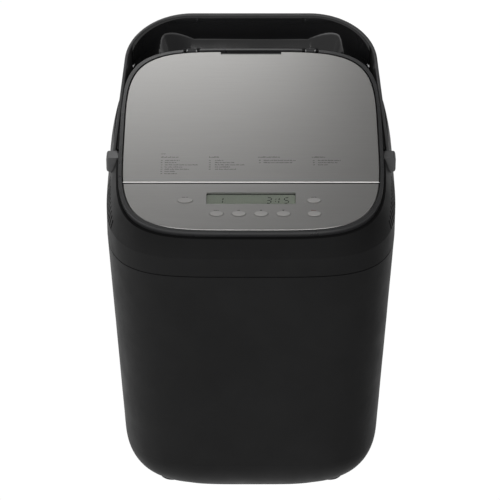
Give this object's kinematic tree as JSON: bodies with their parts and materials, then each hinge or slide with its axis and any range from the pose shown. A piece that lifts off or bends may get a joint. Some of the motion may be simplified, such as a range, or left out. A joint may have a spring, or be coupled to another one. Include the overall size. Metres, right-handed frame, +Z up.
{
  "type": "bread machine",
  "caption": "Countertop bread machine with a tall rounded body, sloping hinged lid, front control panel, folding carry handle and a removable bread pan.",
  "frame": {"origin": "on the table under the middle of the machine: the centre of the bounding box's bottom face", "axes": "+Z up, -Y towards the front with the control panel, +X to the user's right"},
  "size_m": [0.2618, 0.305, 0.3707],
  "materials": {
    "body_plastic": "satin black moulded plastic with a very fine texture",
    "trim_plastic": "semi-gloss dark grey plastic",
    "gloss_black": "polished black plastic",
    "silver_grey": "satin silver-grey metallic finish",
    "key_plastic": "satin pearl-grey key caps",
    "inner_plastic": "dark moulded plastic",
    "display_glass": "clear display window",
    "display": "grey-green display cell",
    "circuit_board": "green circuit board with parts",
    "switch_plastic": "small black switches",
    "bare_steel": "zinc-plated or brushed steel",
    "chamber_sheet": "plain aluminised sheet",
    "heater_sheath": "dark oxidised heater sheath",
    "nonstick": "dark grey non-stick coating",
    "cast_metal": "die-cast aluminium",
    "pulley_plastic": "natural engineering plastic",
    "belt_rubber": "ribbed belt rubber",
    "seal_silicone": "grey silicone",
    "insulation": "glass-fibre insulation",
    "fuse_sleeve": "white sleeve"
  },
  "bodies": {
    "housing": {"lower_housing": "body_plastic", "upper_housing": "body_plastic", "rim_trim": "trim_plastic", "rear_rim_trim": "trim_plastic", "handle_pivot_pins": "bare_steel", "lid_hinge_pins": "bare_steel", "control_panel": "silver_grey", "panel_backing": "inner_plastic", "lcd_window": "display_glass", "lcd_module": "display", "control_board": "circuit_board", "tact_switches": "switch_plastic", "board_screws": "bare_steel", "board_bracket": "inner_plastic", "baking_chamber": "chamber_sheet", "heater_element": "heater_sheath", "heater_clips": "bare_steel", "temperature_sensor": "bare_steel", "pan_socket": "chamber_sheet", "drive_bearing": "cast_metal", "drive_belt": "belt_rubber", "motor_body": "chamber_sheet", "motor_mounts": "belt_rubber", "chassis": "bare_steel", "chamber_screws": "bare_steel", "motor_capacitor": "inner_plastic", "power_board": "circuit_board", "thermal_fuse": "fuse_sleeve", "base_plate": "inner_plastic", "base_screws": "bare_steel", "feet": "belt_rubber", "cord_gland": "belt_rubber"},
    "lid": {"lid_panel": "silver_grey", "lid_frame": "inner_plastic", "steam_vent": "inner_plastic", "lid_insulation": "insulation", "lid_inner_cover": "chamber_sheet", "lid_seal": "seal_silicone", "lid_screws": "bare_steel"},
    "handle": {"handle_hoop": "trim_plastic", "handle_grip_cover": "gloss_black", "handle_caps": "trim_plastic"},
    "pan": {"pan_shell": "nonstick", "pan_base": "cast_metal", "pan_bearing": "cast_metal"},
    "bail": {"pan_bail": "bare_steel"},
    "blade": {"blade_shaft": "bare_steel", "kneading_blade": "nonstick"},
    "drive": {"drive_shaft": "bare_steel", "drive_coupler": "cast_metal", "drive_pulley": "pulley_plastic"},
    "motor_rotor": {"motor_armature": "bare_steel", "motor_pulley": "pulley_plastic"},
    "menu_key": {"menu_button": "key_plastic"},
    "option_key": {"option_button": "key_plastic"},
    "size_key": {"size_button": "key_plastic"},
    "timer_up_key": {"timer_up_button": "key_plastic"},
    "timer_down_key": {"timer_down_button": "key_plastic"},
    "start_key": {"start_button": "key_plastic"},
    "stop_key": {"stop_button": "key_plastic"}
  },
  "joints": [
    {"name": "lid_hinge", "type": "hinge", "parent": "housing", "child": "lid", "pos_m": [0, 0.10997, 0.34954], "axis": [-1, 0, 0], "range_deg": [0, 82]},
    {"name": "handle_hinge", "type": "hinge", "parent": "housing", "child": "handle", "pos_m": [0, -0.033, 0.308], "axis": [1, 0, 0], "range_deg": [0, 76]},
    {"name": "drive_spin", "type": "hinge", "parent": "housing", "child": "drive", "pos_m": [0, 0.015, 0.044], "axis": [0, 0, 1], "continuous": true},
    {"name": "motor_spin", "type": "hinge", "parent": "housing", "child": "motor_rotor", "pos_m": [0, -0.107, 0.044], "axis": [0, 0, 1], "continuous": true},
    {"name": "pan_lift", "type": "slide", "parent": "housing", "child": "pan", "axis": [0, 0, 1], "range_m": [0, 0.012]},
    {"name": "bail_swing", "type": "hinge", "parent": "pan", "child": "bail", "pos_m": [0, 0.015, 0.256], "axis": [1, 0, 0], "range_deg": [0, 32]},
    {"name": "blade_spin", "type": "hinge", "parent": "pan", "child": "blade", "pos_m": [0, 0.015, 0.12], "axis": [0, 0, 1], "continuous": true},
    {"name": "menu_press", "type": "slide", "parent": "housing", "child": "menu_key", "axis": [0, 0.2079, -0.9781], "range_m": [0, 0.0009], "stiffness_N_per_m": 900, "springref_m": -0.0004},
    {"name": "option_press", "type": "slide", "parent": "housing", "child": "option_key", "axis": [0, 0.2079, -0.9781], "range_m": [0, 0.0009], "stiffness_N_per_m": 900, "springref_m": -0.0004},
    {"name": "size_press", "type": "slide", "parent": "housing", "child": "size_key", "axis": [0, 0.2079, -0.9781], "range_m": [0, 0.0009], "stiffness_N_per_m": 900, "springref_m": -0.0004},
    {"name": "timer_up_press", "type": "slide", "parent": "housing", "child": "timer_up_key", "axis": [0, 0.2079, -0.9781], "range_m": [0, 0.0009], "stiffness_N_per_m": 900, "springref_m": -0.0004},
    {"name": "timer_down_press", "type": "slide", "parent": "housing", "child": "timer_down_key", "axis": [0, 0.2079, -0.9781], "range_m": [0, 0.0009], "stiffness_N_per_m": 900, "springref_m": -0.0004},
    {"name": "start_press", "type": "slide", "parent": "housing", "child": "start_key", "axis": [0, 0.2079, -0.9781], "range_m": [0, 0.0009], "stiffness_N_per_m": 900, "springref_m": -0.0004},
    {"name": "stop_press", "type": "slide", "parent": "housing", "child": "stop_key", "axis": [0, 0.2079, -0.9781], "range_m": [0, 0.0009], "stiffness_N_per_m": 900, "springref_m": -0.0004}
  ],
  "couplings": [
    {"joint": "drive_spin", "follows": "motor_spin", "ratio": 0.19565},
    {"joint": "blade_spin", "follows": "motor_spin", "ratio": 0.19565}
  ]
}
